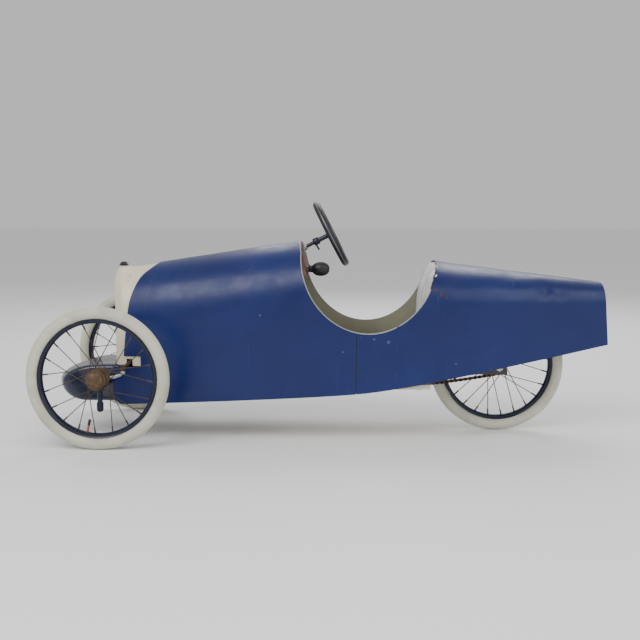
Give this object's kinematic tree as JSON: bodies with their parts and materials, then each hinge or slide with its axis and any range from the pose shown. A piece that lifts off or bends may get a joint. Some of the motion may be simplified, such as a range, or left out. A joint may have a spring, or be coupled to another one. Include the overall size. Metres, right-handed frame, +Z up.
{
  "type": "pedal cyclecar",
  "caption": "Child's chain-driven pedal cyclecar: boat-tailed sheet body, wire wheels, steered front axle, leaning steering wheel and padded seat.",
  "frame": {"origin": "centre of the bounding box at floor height", "axes": "+X towards the tail, -X towards the nose, -Y the driver's left, +Z up"},
  "size_m": [1.4758, 0.58, 0.6132],
  "materials": {
    "blue_paint": "aged gloss with scratches",
    "cream_paint": "aged satin",
    "tyre": "matt white rubber, yellowed",
    "navy_enamel": "gloss",
    "rusted_steel": "rusted matt",
    "bare_steel": "worn satin",
    "brass": "dull",
    "wood": "varnished",
    "cream_wood": "painted board",
    "black_rubber": "satin",
    "dark_paint": "worn satin",
    "upholstery": "wrinkled"
  },
  "bodies": {
    "car": {"front_body_shell": "blue_paint", "rear_body_shell": "blue_paint", "tail_panel": "blue_paint", "nose_fairing": "blue_paint", "radiator_cowl": "cream_paint", "floor_board": "cream_wood", "grille_panel": "dark_paint", "radiator_cap": "black_rubber", "cowl_stud": "black_rubber", "dashboard": "wood", "column_bushing": "bare_steel", "horn_neck": "dark_paint", "horn_trumpet": "brass", "horn_bulb": "black_rubber", "seat_board": "wood", "seat_cushion": "upholstery", "seat_back_board": "wood", "seat_back_pad": "upholstery", "seat_riser_left": "wood", "seat_riser_right": "wood", "backbone_tube": "dark_paint", "front_axle_beam": "navy_enamel", "column_support": "dark_paint", "bottom_bracket": "dark_paint", "rear_fork": "dark_paint", "rear_axle": "bare_steel", "left_kingpin": "navy_enamel", "right_kingpin": "navy_enamel", "dash_bolt_left": "rusted_steel", "dash_bolt_right": "rusted_steel", "chain_upper_run": "rusted_steel", "chain_lower_run": "rusted_steel"},
    "steering": {"steering_wheel": "black_rubber", "steering_column": "navy_enamel", "column_clamp": "navy_enamel", "drop_arm": "dark_paint"},
    "tie_rod": {"tie_rod": "rusted_steel"},
    "left_knuckle": {"left_knuckle": "bare_steel"},
    "right_knuckle": {"right_knuckle": "bare_steel"},
    "left_wheel": {"left_tyre": "tyre", "left_rim": "navy_enamel", "left_spoked_hub": "rusted_steel", "left_hub_cap": "rusted_steel", "left_valve": "brass"},
    "right_wheel": {"right_tyre": "tyre", "right_rim": "navy_enamel", "right_spoked_hub": "rusted_steel", "right_hub_cap": "rusted_steel", "right_valve": "brass"},
    "rear_wheel": {"rear_tyre": "tyre", "rear_rim": "navy_enamel", "rear_spoked_hub": "rusted_steel", "rear_sprocket": "rusted_steel", "rear_valve": "brass"},
    "crankset": {"crankset": "dark_paint", "chainwheel": "rusted_steel"},
    "left_pedal": {"left_pedal": "black_rubber"},
    "right_pedal": {"right_pedal": "black_rubber"}
  },
  "joints": [
    {"name": "steering_column_turn", "type": "hinge", "parent": "car", "child": "steering", "pos_m": [0.01, 0, 0.528], "axis": [0.891, 0, 0.454], "range_deg": [-25, 25]},
    {"name": "tie_rod_slide", "type": "slide", "parent": "car", "child": "tie_rod", "axis": [0, 1, 0], "range_m": [-0.022, 0.022]},
    {"name": "left_kingpin_turn", "type": "hinge", "parent": "car", "child": "left_knuckle", "pos_m": [-0.57, -0.2, 0.178], "axis": [0, 0, 1], "range_deg": [-21, 21]},
    {"name": "right_kingpin_turn", "type": "hinge", "parent": "car", "child": "right_knuckle", "pos_m": [-0.57, 0.2, 0.178], "axis": [0, 0, 1], "range_deg": [-21, 21]},
    {"name": "left_wheel_spin", "type": "hinge", "parent": "left_knuckle", "child": "left_wheel", "pos_m": [-0.562, -0.25, 0.178], "axis": [0, 1, 0], "continuous": true},
    {"name": "right_wheel_spin", "type": "hinge", "parent": "right_knuckle", "child": "right_wheel", "pos_m": [-0.562, 0.25, 0.178], "axis": [0, 1, 0], "continuous": true},
    {"name": "crank_spin", "type": "hinge", "parent": "car", "child": "crankset", "pos_m": [-0.332, 0, 0.198], "axis": [0, 1, 0], "continuous": true},
    {"name": "rear_wheel_spin", "type": "hinge", "parent": "car", "child": "rear_wheel", "pos_m": [0.4555, 0, 0.178], "axis": [0, 1, 0], "continuous": true},
    {"name": "left_pedal_spin", "type": "hinge", "parent": "crankset", "child": "left_pedal", "pos_m": [-0.42, -0.086, 0.198], "axis": [0, 1, 0], "continuous": true},
    {"name": "right_pedal_spin", "type": "hinge", "parent": "crankset", "child": "right_pedal", "pos_m": [-0.244, 0.086, 0.198], "axis": [0, 1, 0], "continuous": true}
  ],
  "couplings": [
    {"joint": "tie_rod_slide", "follows": "steering_column_turn", "m_per_rad": 0.048},
    {"joint": "left_kingpin_turn", "follows": "steering_column_turn", "ratio": 0.8},
    {"joint": "right_kingpin_turn", "follows": "steering_column_turn", "ratio": 0.8},
    {"joint": "rear_wheel_spin", "follows": "crank_spin", "ratio": 2.4}
  ]
}
